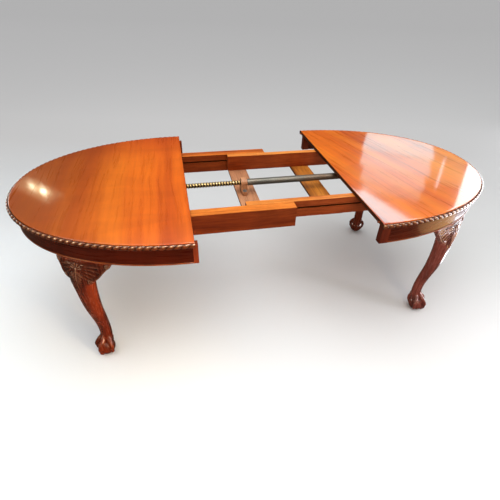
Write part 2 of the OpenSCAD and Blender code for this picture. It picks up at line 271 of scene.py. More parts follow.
# painted shade: the left top darkens towards its far end and towards its back edge
M["top_left"] = wood("top_left_polish", (0.90, 0.200, 0.009), (0.80, 0.145, 0.006), (0.56, 0.078, 0.004),
                     rot=(0, 0, -R90), rough=0.30, coat=1.0, coat_rough=0.07, figure=0.20, streak=0.30, ticks=0.2,
                     pore=0.06, bump=0.015, band=6.0, coat_ior=1.5, spec=0.1,
                     painted_shade_grades=((0, -0.52, -1.10, (0.40, 0.37, 0.60)), (1, 0.18, 0.60, (0.76, 0.54, 0.40))))
M["top_right"] = wood("top_right_polish", (0.90, 0.215, 0.010), (0.80, 0.150, 0.006), (0.52, 0.066, 0.004),
                      rot=(0, 0, math.radians(76)), rough=0.30, coat=1.0, coat_rough=0.07, figure=0.22,
                      streak=0.40, ticks=0.25, pore=0.06, bump=0.015, band=6.5, loc=(3.1, 1.7, 0.4), coat_ior=1.5, spec=0.1)
# painted shade: a near-black copy of the top wood for the straight cut edges
M["top_face"] = wood("top_cut_edge_polish", (0.085, 0.020, 0.005), (0.055, 0.012, 0.004), (0.028, 0.007, 0.003),
                     rot=(0, 0, -R90), rough=0.45, streak=0.6, pore=0.4, bump=0.06, band=30, spec=0.15, tint=WARM)
# painted highlight: the pale gold crest colour sits on each lobe's shoulder; the near-black cavity colour is painted
# shade
M["edge"] = wood("edge_moulding_polish", (0.19, 0.036, 0.007), (0.125, 0.022, 0.005), (0.065, 0.011, 0.003), kind="UV",
                 rough=0.26, coat=1.0, coat_rough=0.11, figure=0.2, streak=0.4, bump=0.05, cavity_shade="cavity_shade",
                 cavity_shade_col=(0.010, 0.003, 0.002), band=14, spec=0.4, tint=WARM, painted_highlight=(0.95, 0.62, 0.33))
M["apron"] = wood("apron_polish", (0.105, 0.0105, 0.0018), (0.066, 0.0062, 0.0014), (0.030, 0.0035, 0.0011), kind="UV",
                  rough=0.26, coat=0.45, coat_rough=0.10, figure=0.35, streak=0.55, bump=0.04, band=16, spec=0.25, tint=WARM)
M["top_under"] = wood("top_underside_bare", (0.36, 0.135, 0.046), (0.26, 0.088, 0.028), (0.13, 0.040, 0.014), rot=(0, 0, -R90),
                      rough=0.62, figure=0.3, streak=0.6, pore=0.6, bump=0.16, band=12, spec=0.18, tint=WARM)
# painted shade: a darker, less glossy copy of the apron polish for the left apron, under the top's overhang
M["apron_left"] = wood("apron_polish_left", (0.078, 0.0070, 0.0012), (0.048, 0.0042, 0.0010), (0.022, 0.0024, 0.0008), kind="UV",
                       rough=0.30, coat=0.22, coat_rough=0.10, figure=0.35, streak=0.55, bump=0.04, band=16, spec=0.15, tint=WARM)
# painted highlight: the bead is kept far lighter than the apron above it
M["bead"] = wood("bead_polish", (0.34, 0.075, 0.014), (0.22, 0.042, 0.009), (0.10, 0.017, 0.005), kind="UV",
                 rough=0.28, coat=0.35, coat_rough=0.12, bump=0.04, band=20, spec=0.3, tint=WARM)
# painted light and shade: lit and shaded copies of one end-block wood, the left blocks lighter, the right ones darker
M["block"] = wood("end_block_polish", (0.34, 0.050, 0.009), (0.23, 0.031, 0.007), (0.11, 0.016, 0.005), rot=(0, R90, 0),
                  rough=0.4, coat=0.0, bump=0.05, band=22, spec=0.2, tint=WARM)
M["block_right"] = wood("right_end_block_polish", (0.175, 0.020, 0.005), (0.115, 0.013, 0.004), (0.055, 0.007, 0.003), rot=(0, R90, 0),
                        rough=0.35, coat=0.1, bump=0.05, band=22, spec=0.25, tint=WARM)
# painted shade: the rails' upright faces are darkened, and a dark band lies in the slide grooves
M["rail"] = wood("slide_rail_wood", (0.92, 0.275, 0.040), (0.76, 0.190, 0.022), (0.44, 0.080, 0.010),
                 rough=0.42, coat=0.0, figure=0.2, streak=0.6, pore=0.45, bump=0.10, band=15, spec=0.22,
                 side=(0.30, 0.16, 0.16), tint=WARM, groove_shade=(0.16, 0.14, 0.14))
# painted light: a lighter copy of the rail wood for the inner rails
M["rail_inner"] = wood("slide_rail_wood_inner", (0.98, 0.37, 0.078), (0.86, 0.275, 0.048), (0.54, 0.125, 0.024),
                       rough=0.42, coat=0.0, figure=0.2, streak=0.6, pore=0.45, bump=0.10, band=15, spec=0.22,
                       side=(0.40, 0.20, 0.19), tint=WARM, groove_shade=(0.16, 0.14, 0.14))
M["cross"] = wood("under_frame_wood", (0.34, 0.085, 0.020), (0.23, 0.050, 0.012), (0.11, 0.022, 0.007), rot=(0, 0, -R90),
                  rough=0.55, figure=0.2, streak=0.6, pore=0.5, bump=0.15, band=14, spec=0.2, tint=WARM)
# painted shade: the boards' upright faces are darkened
M["pale"] = wood("board_pale_wood", (0.72, 0.34, 0.165), (0.58, 0.26, 0.120), (0.40, 0.165, 0.072), rot=(0, 0, -R90),
                 rough=0.6, figure=0.15, streak=0.5, pore=0.5, bump=0.15, band=16, spec=0.3, side=(0.25, 0.16, 0.14))
M["golden"] = wood("board_golden_wood", (0.66, 0.245, 0.034), (0.50, 0.165, 0.022), (0.26, 0.075, 0.012), rot=(0, 0, -R90),
                   rough=0.5, coat=0.0, streak=0.65, pore=0.5, bump=0.12, band=16, spec=0.3, side=(0.25, 0.16, 0.14), tint=WARM)
M["tongue"] = wood("tongue_wood", (0.46, 0.26, 0.12), (0.36, 0.19, 0.08), (0.24, 0.12, 0.05),
                   rough=0.6, figure=0.1, streak=0.5, pore=0.5, bump=0.15, band=25, spec=0.3)
M["saddle"] = wood("nut_saddle_wood", (0.70, 0.33, 0.150), (0.54, 0.23, 0.098), (0.34, 0.13, 0.052), rot=(0, 0, -R90),
                   rough=0.5, figure=0.1, streak=0.55, pore=0.5, bump=0.15, band=26, spec=0.3)
# painted highlight: the pale crest colour on the raised carving; painted shade: the near-black cavity colour in its
# hollows
M["leg"] = wood("leg_polish", (0.230, 0.030, 0.0060), (0.145, 0.0165, 0.0045), (0.060, 0.0070, 0.003), rot=(0, R90, 0),
                rough=0.24, coat=0.65, coat_rough=0.09, figure=0.25, streak=0.45, pore=0.35, bump=0.05,
                cavity_shade="cavity_shade", cavity_shade_col=(0.010, 0.003, 0.002), band=18, spec=0.30, tint=(1.0, 0.62, 0.40),
                field=(0.60, 0.66, 0.82), painted_highlight=(0.38, 0.21, 0.12))


def tube_tint(m, v, c):
    """Browner and rustier towards the far end, with dull patches."""
    sx = m.add("ShaderNodeSeparateXYZ")
    m.link(v, sx.inputs[0])
    n = m.noise(m.remap(v, (0.5, 1, 1)), 22.0, 5.0, 0.6)
    f = m.math("ADD", m.span(sx.outputs[0], 0.05, 0.42, 0.0, 0.75), m.span(n, 0.45, 0.7, -0.15, 0.35), clamp=True)
    return m.mix(c, (0.115, 0.062, 0.032), f)


M["tube"] = metal("cover_tube_steel", (0.135, 0.130, 0.108), (0.055, 0.053, 0.045), 0.50, 0.6, 26.0, (0.12, 1, 1), 0.12, extra=tube_tint)
# painted shade: the thread's roots are mixed towards a near-black brown
M["thread"] = metal("screw_thread_brass", (0.50, 0.37, 0.16), (0.27, 0.185, 0.075), 0.36, 0.85, 60.0, cavity_shade="cavity_shade", cavity_shade_col=(0.022, 0.012, 0.006))
M["brass"] = metal("fitting_brass", (0.78, 0.56, 0.22), (0.55, 0.36, 0.12), 0.24, 1.0, 80.0)
M["iron"] = metal("iron_fittings", (0.30, 0.31, 0.31), (0.15, 0.14, 0.13), 0.42, 0.9, 90.0)

# ------------------------------------------------------------- mesh helpers


def make(name, verts, faces, mat, body, smooth=True, angle=32.0, uv=None, attrs=None, replaces=()):
    me = bpy.data.meshes.new(name)
    me.from_pydata([tuple(map(float, v)) for v in verts], [], [tuple(int(i) for i in f) for f in faces])
    me.validate()
    if uv is not None:
        lay = me.uv_layers.new(name="UVMap")
        idx = np.empty(len(me.loops), dtype=np.int32)
        me.loops.foreach_get("vertex_index", idx)
        lay.data.foreach_set("uv", np.asarray(uv, dtype=np.float32)[idx].ravel())
    for k, v in (attrs or {}).items():
        a = me.attributes.new(k, "FLOAT", "POINT")
        a.data.foreach_set("value", np.asarray(v, dtype=np.float32))
    if smooth:
        me.shade_smooth()
        me.set_sharp_from_angle(angle=math.radians(angle))
    me.update()
    ob = bpy.data.objects.new(name, me)
    bpy.context.scene.collection.objects.link(ob)
    me.materials.append(mat)
    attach(ob, body)
    if replaces:
        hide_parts(*replaces)
    return ob


# dense half outline with its outward normals, by arc length
_t = np.linspace(-math.pi / 2, math.pi / 2, 40001)
_ox = A * np.abs(np.cos(_t)) ** (2 / N)
_oy = B * np.sign(np.sin(_t)) * np.abs(np.sin(_t)) ** (2 / N)
_ox[0] = _ox[-1] = 0.0
_os = np.concatenate([[0], np.cumsum(np.hypot(np.diff(_ox), np.diff(_oy)))])
PERIM = float(_os[-1])


def curve(s):
    """Point and outward normal of the right half's outline at arc length s."""
    x = np.interp(s, _os, _ox)
    y = np.interp(s, _os, _oy)
    gx = (x / A) ** (N - 1) / A
    gy = np.sign(y) * (np.abs(y) / B) ** (N - 1) / B
    g = np.hypot(gx, gy)
    return x, y, gx / g, gy / g


def s_at_cut(cut):
    i = np.argmax(_ox >= cut)
    return float(_os[i]) if cut > 0 else 0.0


def sweep(name, prof, m, side, mat, body, cut=0.0, attrs=None, replaces=(), angle=32.0, closed=True):
    """prof(s) gives (m, k, 2) insets and heights in metres, the loop running outer face up, then back down inside."""
    s0 = s_at_cut(cut)
    s = np.linspace(s0, PERIM - s0, m)
    x, y, nx, ny = curve(s)
    x[0] = x[-1] = max(cut, 0.0)
    P = prof(s)
    k = P.shape[1]
    X = side * (EX + x[:, None] - P[:, :, 0] * nx[:, None])
    Y = y[:, None] - P[:, :, 0] * ny[:, None]
    X[0, :] = X[-1, :] = side * (EX + max(cut, 0.0))
    V = np.stack([X, Y, P[:, :, 1]], -1).reshape(-1, 3)
    d = np.hypot(np.diff(P[0, :, 0]), np.diff(P[0, :, 1]))
    pv = np.concatenate([[0], np.cumsum(d)])
    uv = np.stack([np.repeat(s[:, None], k, 1), np.repeat(pv[None, :], m, 0)], -1).reshape(-1, 2)
    F = []
    for i in range(m - 1):
        for j in range(k):
            a, b = i * k + j, i * k + (j + 1) % k
            c, e = b + k, a + k
            F.append((a, e, c, b) if side > 0 else (a, b, c, e))
    first, last = list(range(k)), list(range((m - 1) * k, m * k))
    if side > 0:
        F += [first, last[::-1]]
    else:
        F += [first[::-1], last]
    at = {q: w(s, P) for q, w in (attrs or {}).items()}
    return make(name, V, F, mat, body, angle=angle, uv=uv, attrs=at, replaces=replaces)


def const_prof(pts):
    pts = np.asarray(pts, float)
    return lambda s: np.repeat(pts[None], len(s), 0)


# -------------------------------------------------------------------- tops
EDGE = 0.0128      # inset of the flat top's rim; a fine quirk separates it from the gadroons


def top_panel(name, side, mat, body, node):
    m, q = 460, 90
    s = np.linspace(0, PERIM, m)
    x, y, nx, ny = curve(s)
    layers = [(0.0012, UZ), (0.0003, UZ + 0.0003), (0.0, UZ + 0.0010), (0.0, H - 0.0022), (0.0003, H - 0.0011),
              (0.0009, H - 0.0004), (0.0018, H - 0.00008), (0.0030, H), (0.012, H)]
    V, F = [], []
    for ins, z in layers:
        cx = EX + ins + (x - (EDGE + ins) * nx) * (A - EDGE - 2 * ins) / (A - EDGE - ins)
        cy = y - (EDGE + ins) * ny
        sy = np.linspace(cy[-1], cy[0], q + 2)[1:-1]
        V.append(np.stack([np.concatenate([cx, np.full(q, EX + ins)]), np.concatenate([cy, sy]), np.full(m + q, z)], -1))
    n = m + q
    V = np.concatenate(V)
    V[:, 0] *= side
    for L in range(len(layers) - 1):
        for j in range(n):
            a, b = L * n + j, L * n + (j + 1) % n
            F.append((a, b, b + n, a + n) if side > 0 else (a, a + n, b + n, b))
    bot, top = list(range(n)), list(range((len(layers) - 1) * n, len(layers) * n))
    F += [bot[::-1], top] if side > 0 else [bot, top[::-1]]
    ob = make(name, V, F, mat, body, angle=40, replaces=[node])
    ob.data.materials.append(M["top_face"])
    ob.data.materials.append(M["top_under"])
    # painted shade: faces on the straight edge take the dark edge copy; the underside takes the bare wood
    for p in ob.data.polygons:
        if abs(abs(p.center.x) - EX) < 0.0014 and abs(p.normal.x) > 0.6:
            p.material_index = 1
        elif p.normal.z < -0.9:
            p.material_index = 2
    return ob


top_left = top_panel("top_board_left", -1, M["top_left"], "left_half", "left_top")
top_right = top_panel("top_board_right", 1, M["top_right"], "right_half", "right_top")

# --------------------------------------------------------- gadrooned edges
LOBES = 77
PITCH = PERIM / LOBES
_th = np.radians(np.linspace(-96, 128, 19))


def lobe(phase):
    f = phase - np.floor(phase)
    return np.sqrt(np.clip(1 - (2 * f - 1) ** 2 * 0.97, 0, 1))


SLANT = 0.62


def gadroon_prof(s):
    fade = np.clip(np.minimum(s, PERIM - s) / 0.010, 0, 1)[:, None]
    ph = s[:, None] / PITCH + SLANT * (_th[None] / math.pi) + 0.2
    r = 1 - 0.56 * (1 - lobe(ph)) * fade * np.clip(np.cos(_th[None] - 0.35) * 1.3 + 0.25, 0.10, 1)
    ins = 0.0068 - 0.0066 * np.cos(_th)[None] * r
    z = 0.7375 + 0.0106 * np.sin(_th)[None] * r
    m = len(s)
    back = np.array([[0.0128, 0.7452], [0.0128, 0.7270], [0.0110, 0.7258], [0.0085, 0.7258]])
    P = np.stack([ins + 0 * z, z + 0 * ins], -1)
    return np.concatenate([P, np.repeat(back[None], m, 0)], 1)


# painted shade: dark in the gaps between lobes, under the moulding, in the quirk by the top and on the hidden back
def gadroon_cavity_shade(s, P):
    ph = s[:, None] / PITCH + SLANT * (_th[None] / math.pi) + 0.2
    c = np.clip((1 - lobe(ph)) * 1.5, 0, 1)
    c = np.maximum(c, np.clip((-_th[None] - 0.25) / 1.0, 0, 0.95))
    c = np.maximum(c, np.clip((_th[None] - 1.62) / 0.4, 0, 0.9))
    return np.concatenate([c, np.full((len(s), 4), 0.95)], 1).ravel()


def gadroon_painted_highlight(s, P):
    """Painted highlight: a paler patch on the upper shoulder of each lobe."""
    ph = s[:, None] / PITCH + SLANT * (_th[None] / math.pi) + 0.2
    f = ph - np.floor(ph)
    c = 0.9 * np.exp(-((f - 0.5) / 0.13) ** 2) * np.exp(-((_th[None] - 0.92) / 0.32) ** 2)
    return np.concatenate([c, np.zeros((len(s), 4))], 1).ravel()


for side, body, node in ((-1, "left_half", "left_gadroon_edge"), (1, "right_half", "right_gadroon_edge")):
    sweep(node + "_carved", gadroon_prof, LOBES * 16 + 1, side, M["edge"], body,
          attrs={"cavity_shade": gadroon_cavity_shade, "painted_highlight": gadroon_painted_highlight}, replaces=[node], angle=60)

# ----------------------------------------------------------- aprons, beads
ap = [(0.0274, 0.6350), (0.0270, 0.6354), (0.0270, 0.6426), (0.0276, 0.6432), (0.0270, 0.6440), (0.0270, 0.7000),
      (0.0270, UZ), (0.0550, UZ), (0.0550, 0.6356), (0.0545, 0.6350)]
_bt = np.radians(np.linspace(-90, 90, 11))
bd = [(0.0270 - 0.0031 * math.cos(a), 0.6386 + 0.0034 * math.sin(a)) for a in _bt] + [(0.0272, 0.6420), (0.0272, 0.6352)]
for side, body, lab, cut in ((-1, "left_half", "left", 0.008), (1, "right_half", "right", 0.054)):
    sweep(lab + "_apron_veneered", const_prof(ap), 421, side, M["apron_left" if side < 0 else "apron"], body, cut=cut,
          replaces=[lab + "_apron"])
    sweep(lab + "_apron_astragal", const_prof(bd), 421, side, M["bead"], body, cut=cut,
          replaces=[lab + "_apron_bead"], angle=60)


def cut_with(ob, cutter):
    """Cuts a hole with an exact boolean and keeps only the result."""
    md = ob.modifiers.new("cut", "BOOLEAN")
    md.operation, md.solver, md.object = "DIFFERENCE", "EXACT", cutter
    dg = bpy.context.evaluated_depsgraph_get()
    me = bpy.data.meshes.new_from_object(ob.evaluated_get(dg), preserve_all_data_layers=True, depsgraph=dg)
    ob.modifiers.remove(md)
    old = ob.data
    ob.data = me
    bpy.data.meshes.remove(old)
    bpy.data.objects.remove(cutter, do_unlink=True)


def cylinder_x(x1, x2, r, y, z, n=64):
    me = bpy.data.meshes.new("cutter")
    bm = bmesh.new()
    bmesh.ops.create_cone(bm, cap_ends=True, segments=n, radius1=r, radius2=r, depth=x2 - x1,
                          matrix=Matrix.Translation(((x1 + x2) / 2, y, z)) @ Matrix.Rotation(R90, 4, "Y"))
    bm.to_mesh(me)
    bm.free()
    ob = bpy.data.objects.new("cutter", me)
    bpy.context.scene.collection.objects.link(ob)
    return ob


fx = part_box("winder_ferrule")
apron_l = bpy.data.objects["left_apron_veneered"]
cut_with(apron_l, cylinder_x(-TIP, fx[0].x + 0.003, 0.0182, 0, SCZ))
cut_with(apron_l, cylinder_x(-TIP, fx[1].x + 0.02, 0.0130, 0, SCZ))
for w in (-0.548, 0.548):
    cut_with(top_left, cylinder_x(-EX - 0.014, -EX + 0.01, 0.0042, w, UZ + 0.0095, 32))

# ------------------------------------------------------------------- legs


def hermite(z, rows, col):
    """Smooth, shape-keeping interpolation through the leg's rows."""
    zs = np.array([r[0] for r in rows], float)
    v = np.array([r[col] for r in rows], float)
    h = np.diff(zs)
    dl = np.diff(v) / h
    d = np.zeros_like(v)
    for i in range(1, len(v) - 1):
        if dl[i - 1] * dl[i] > 0:
            w1, w2 = 2 * h[i] + h[i - 1], h[i] + 2 * h[i - 1]
            d[i] = (w1 + w2) / (w1 / dl[i - 1] + w2 / dl[i])
    d[0], d[-1] = dl[0], dl[-1]
    z = np.clip(z, zs[0], zs[-1])
    i = np.clip(np.searchsorted(zs, z, side="right") - 1, 0, len(h) - 1)
    t = (z - zs[i]) / h[i]
    return ((1 + 2 * t) * (1 - t) ** 2 * v[i] + t * (1 - t) ** 2 * h[i] * d[i]
            + t * t * (3 - 2 * t) * v[i + 1] + t * t * (t - 1) * h[i] * d[i + 1])


# height, centre offset, half depth, half width, squareness (mm)
LEG = [(60, -8, 27, 27, 2.0), (84, -11, 28, 30, 2.0), (104, -18, 27, 30, 2.2), (130, -24, 25, 28.5, 2.3),
       (165, -23, 25, 28.5, 2.4), (215, -17, 26.5, 30.5, 2.4), (265, -8, 28.5, 33.5, 2.5), (320, 2, 31, 37, 2.5),
       (375, 8, 33.5, 41, 2.5), (430, 11, 35, 45, 2.5), (480, 12.5, 38, 49.5, 2.5), (530, 12, 42, 55.5, 2.5),
       (575, 7, 45, 58.5, 2.6), (610, 0, 45, 57.5, 2.8), (634, -4, 42, 55, 3.0)]


def spow(v, e):
    return np.sign(v) * np.abs(v) ** e


def to_world(rho, sig, z):
    """Leg coordinates (outward, sideways, up; mm) of the back right leg to metres in the frame."""
    x = FOOT.x + (rho * N0[0] + sig * T0[0]) / 1000
    y = FOOT.y + (rho * N0[1] + sig * T0[1]) / 1000
    return np.stack([x, y, np.asarray(z) / 1000 + 0 * x], -1)


def leg_parts():
    V, F = [], []

    def put(v, f):
        base = sum(len(q) for q in V)
        V.append(v)
        F.extend([tuple(i + base for i in g) for g in f])

    def tube(rings):
        """Closed tube through rings of equal length."""
        k = len(rings[0])
        v = np.concatenate(rings)
        f = []
        for i in range(len(rings) - 1):
            for j in range(k):
                a, b = i * k + j, i * k + (j + 1) % k
                f.append((a, b, b + k, a + k))
        f += [tuple(range(k))[::-1], tuple(range((len(rings) - 1) * k, len(rings) * k))]
        put(v, f)

    # shank and knee
    a = np.radians(np.arange(0, 360, 6))
    rings = []
    for z in np.concatenate([np.arange(60, 634, 5), [634.0]]):
        rc, hr, ht, e = (float(hermite(np.array([z]), LEG, c)[0]) for c in (1, 2, 3, 4))
        rings.append(to_world(rc + hr * spow(np.cos(a), 2 / e), ht * spow(np.sin(a), 2 / e), np.full(len(a), z)))
    tube(rings)
    # ears each side of the knee, following the apron's curve: a long one towards the middle of the table
    foot2 = np.array([FOOT.x, FOOT.y])
    d2 = (EX + _ox - foot2[0]) ** 2 + (_oy - foot2[1]) ** 2
    s_leg = float(_os[np.argmin(d2)])
    for sg, reach, xs_, zs_ in (
            (1, 0.173, [0, 40, 64, 84, 104, 125, 148, 166, 171, 173], [480, 494, 512, 530, 551, 575, 600, 615, 621, 629]),
            (-1, 0.086, [0, 40, 56, 68, 75.5, 76.5, 80, 84, 86], [480, 508, 526, 539, 556, 583, 606, 618, 628])):
        ss = np.linspace(0.010, reach, 44 if sg > 0 else 26)
        x, y, nx, ny = curve(s_leg + sg * ss)
        zt = 0.6343
        zb = np.interp(ss * 1000, xs_, zs_) / 1000
        u_out = np.clip((ss - 0.045) / 0.05, 0, 1)
        fr = 0.0165 + 0.0075 * u_out
        rings = []
        u = np.linspace(0, 1, 20)
        for k in range(len(ss)):
            zz = zb[k] + (zt - zb[k]) * u
            f_in = fr[k] + 0.005 * (2 * u - 1) ** 6
            ring = [(EX + x[k] - f * nx[k], y[k] - f * ny[k], q) for f, q in zip(f_in, zz)]
            ring += [(EX + x[k] - 0.053 * nx[k], y[k] - 0.053 * ny[k], q) for q in zz[::-1]]
            rings.append(np.array(ring))
        if sg > 0:
            rings = [r[::-1] for r in rings]
        tube(rings)
    # ball
    nb, nr = 40, 22
    rings = []
    for j in range(1, nr):
        ph = math.pi * j / nr
        r = 42.5 * math.sin(ph)
        z = 43.0 - 43.0 * math.cos(ph)
        aa = np.linspace(0, 2 * math.pi, nb, endpoint=False)
        rings.append(to_world(r * np.cos(aa), r * np.sin(aa), np.full(nb, z)))
    tube(rings)

    def chain(path, k=18):
        """A smooth tapering tube through (rho, sig, z, r)."""
        p = np.array(path, float)
        tt = np.linspace(0, len(p) - 1, (len(p) - 1) * 5 + 1)
        rows = [(i, *p[i]) for i in range(len(p))]
        q = np.stack([hermite(tt, rows, c) for c in (1, 2, 3, 4)], -1)
        rings = []
        for i in range(len(q)):
            d = q[min(i + 1, len(q) - 1), :3] - q[max(i - 1, 0), :3]
            d /= np.linalg.norm(d)
            up = np.cross(d, [0.3, 0.2, 0.9])
            up /= np.linalg.norm(up)
            w = np.cross(d, up)
            aa = np.linspace(0, 2 * math.pi, k, endpoint=False)
            c = q[i, :3] + q[i, 3] * (np.cos(aa)[:, None] * up + np.sin(aa)[:, None] * w)
            rings.append(to_world(c[:, 0], c[:, 1], c[:, 2]))
        tube(rings)

    # three front talons and the spur behind, each with knuckles and a nail
    for al in (0, 74, -74):
        ca, sa = math.cos(math.radians(al)), math.sin(math.radians(al))
        st = np.array([-20 + 15 * ca, 17 * sa])
        path = []
        for k, (r, z, w) in enumerate([(17, 124, 8), (28, 105, 11), (36.5, 89, 12.5), (41.5, 74, 9.4), (45.5, 60, 11.2),
                                       (46.5, 46, 7.9), (45.2, 34, 7.8), (43.2, 28.5, 5.2), (39.5, 20.5, 4.6), (32, 11.5, 1.8)]):
            t = max(0.0, 1 - k / 3.0)
            c = np.array([r * ca, r * sa]) * (1 - t) + st * t
            path.append((c[0], c[1], z, w))
        chain(path)
    chain([(-31, 0, 130, 9), (-37, 0, 110, 11), (-41, 0, 92, 11.5), (-44.5, 0, 76, 9), (-48, 0, 62, 10.8),
           (-49.5, 0, 48, 7.4), (-49, 0, 37, 7.2), (-47.5, 0, 31, 4.8), (-43, 0, 21, 4.0), (-36, 0, 12, 1.8)])
    return np.concatenate(V), F


def leaf(x, z, x0, z0, ang, L, w, h, bend=0.0):
    """Height of one carved leaflet rooted at (x0, z0) and pointing at ang degrees, with a sunk vein and a raised tip."""
    c, s = math.cos(math.radians(ang)), math.sin(math.radians(ang))
    a = (x - x0) * c + (z - z0) * s
    b = -(x - x0) * s + (z - z0) * c
    t = a / L
    b = b - bend * np.clip(t, 0, 1.1) ** 2
    tc = np.clip(t, 0, 1)
    ww = w * np.sqrt(np.clip(np.sin(tc ** 0.8 * math.pi), 0, 1))
    q = np.abs(b) / np.maximum(ww, 1e-3)
    body = np.sqrt(np.clip(1 - q ** 2, 0, 1)) * (t > 0) * (t < 1)
    vein = 1 - 0.62 * np.exp(-(b / 0.8) ** 2) - 0.30 * np.exp(-((np.abs(b) - 0.52 * ww) / 0.75) ** 2)
    return h * body * vein * (0.62 + 0.38 * tc)


def along(x, z, pts):
    """Distance to a polyline and the distance run along it."""
    best = np.full(x.shape, 1e9)
    run = np.zeros(x.shape)
    acc = 0.0
    for (x1, z1), (x2, z2) in zip(pts[:-1], pts[1:]):
        dx, dz = x2 - x1, z2 - z1
        L = math.hypot(dx, dz)
        t = np.clip(((x - x1) * dx + (z - z1) * dz) / (L * L), 0, 1)
        d = np.hypot(x - x1 - t * dx, z - z1 - t * dz)
        run = np.where(d < best, acc + t * L, run)
        best = np.minimum(best, d)
        acc += L
    return best, run


RIM_IN = [(160, 622), (147, 606), (125, 582), (104, 558), (86, 539), (68, 524), (56, 512)]
RIM_OUT = [(76, 622), (71, 606), (68, 584), (68, 558), (61, 544), (52, 530)]


def scroll(x, z, cx, cz, R, hand, h):
    """A volute: a raised spiral band round a round eye."""
    dx, dz = x - cx, z - cz
    r = np.hypot(dx, dz)
    ph = hand * np.arctan2(dz, dx) / (2 * math.pi)
    band = 0.5 + 0.5 * np.cos(2 * math.pi * (r / (R * 0.46) + ph))
    return h * np.clip(0.25 + band, 0, 1) * np.clip((R - r) / 1.6, 0, 1) + 1.4 * np.exp(-(r / (0.2 * R)) ** 2)


def carving(x, z):
    """Height (mm) of the carved knee over its sunk ground; x runs towards the middle of the table."""
    h = np.zeros_like(x)
    xc = x - np.interp(z, [440, 520, 600], [0, 4, 14])
    ax = np.abs(xc)
    # C-scroll mouldings along the ears' lower edges
    for pts, sgn in ((RIM_IN, 1), (RIM_OUT, -1)):
        d, run = along(sgn * x, z, pts)
        h = np.maximum(h, 3.8 * np.sqrt(np.clip(1 - (d / 4.6) ** 2, 0, 1)) * (1 - 0.35 * np.exp(-(d / 0.9) ** 2)))
        h = np.maximum(h, (2.4 + 0.9 * np.cos(2 * math.pi * run / 7.0)) * np.exp(-((d - 7.2) / 1.7) ** 2))
    h = np.maximum(h, scroll(x, z, 150, 619, 12.0, 1, 4.2))
    h = np.maximum(h, scroll(x, z, 62, 528, 12.5, -1, 4.4))
    h = np.maximum(h, scroll(-x, z, 70, 617, 11.0, 1, 4.2))
    h = np.maximum(h, scroll(-x, z, 56, 542, 11.5, -1, 4.4))
    # leaves that spread along the ears
    for x0, z0, an, L, w, bd in ((34, 612, 0, 92, 7.5, -5), (34, 602, -10, 84, 7.5, -6), (32, 590, -21, 72, 7.2, -6), (30, 577, -33, 58, 6.8, -5),
                                 (28, 563, -46, 44, 6.2, -4)):
        h = np.maximum(h, leaf(x, z, x0, z0, an, L, w, 4.4, bd))
    for x0, z0, an, L, w, bd in ((6, 612, 0, 52, 7.0, -4), (6, 600, -14, 50, 7.0, -4), (8, 588, -30, 46, 6.6, -4), (8, 574, -46, 40, 6.2, -3)):
        h = np.maximum(h, leaf(-x, z, x0, z0, an, L, w, 4.4, bd))
    # the long acanthus leaf down the knee: paired lobes each side of a stem
    for k in range(9):
        z0 = 584 - 16.0 * k
        L = 42 - 3.1 * k
        h = np.maximum(h, leaf(ax, z, 1.0, z0, -48 - 2.6 * k, L, 7.4 - 0.42 * k, 5.4 - 0.30 * k, -4))
    st = 4.4 * np.sqrt(np.clip(1 - (ax / (1.4 + 2.6 * np.clip((z - 440) / 150, 0, 1))) ** 2, 0, 1)) * np.clip((z - 444) / 12, 0, 1) * np.clip((600 - z) / 6, 0, 1)
    h = np.maximum(h, st)
    # shell over the knee: ribs that fan out of a small boss
    dx, dz = xc, z - 596
    r, an = np.hypot(dx, dz), np.arctan2(dz, dx)
    ribs = 0.55 + 0.45 * np.cos(an * 11)
    shell = 4.8 * ribs * np.clip((r - 6) / 4, 0, 1) * np.clip((27 - r) / 2.5, 0, 1) * (dz > -2)
    h = np.maximum(h, shell)
    h = np.maximum(h, 5.2 * np.sqrt(np.clip(1 - (r / 7.2) ** 2, 0, 1)))
    return h


def edge_of_carving(x, z):
    """1 inside the carved field, 0 outside, with a soft edge."""
    inner = np.interp(z, [438, 455, 480, 505, 520, 545, 575, 600, 634], [0, 12, 26, 44, 66, 96, 130, 158, 190])
    outer = np.interp(z, [438, 455, 480, 505, 520, 545, 575, 634], [0, 12, 26, 40, 58, 76, 86, 100])
    wd = np.interp(z, [490, 545], [26, 6])
    f = np.where(x > 0, np.clip((inner + 3 - x) / wd, 0, 1), np.clip((outer + 3 + x) / wd, 0, 1))
    return f * np.clip((z - 424) / 34, 0, 1)


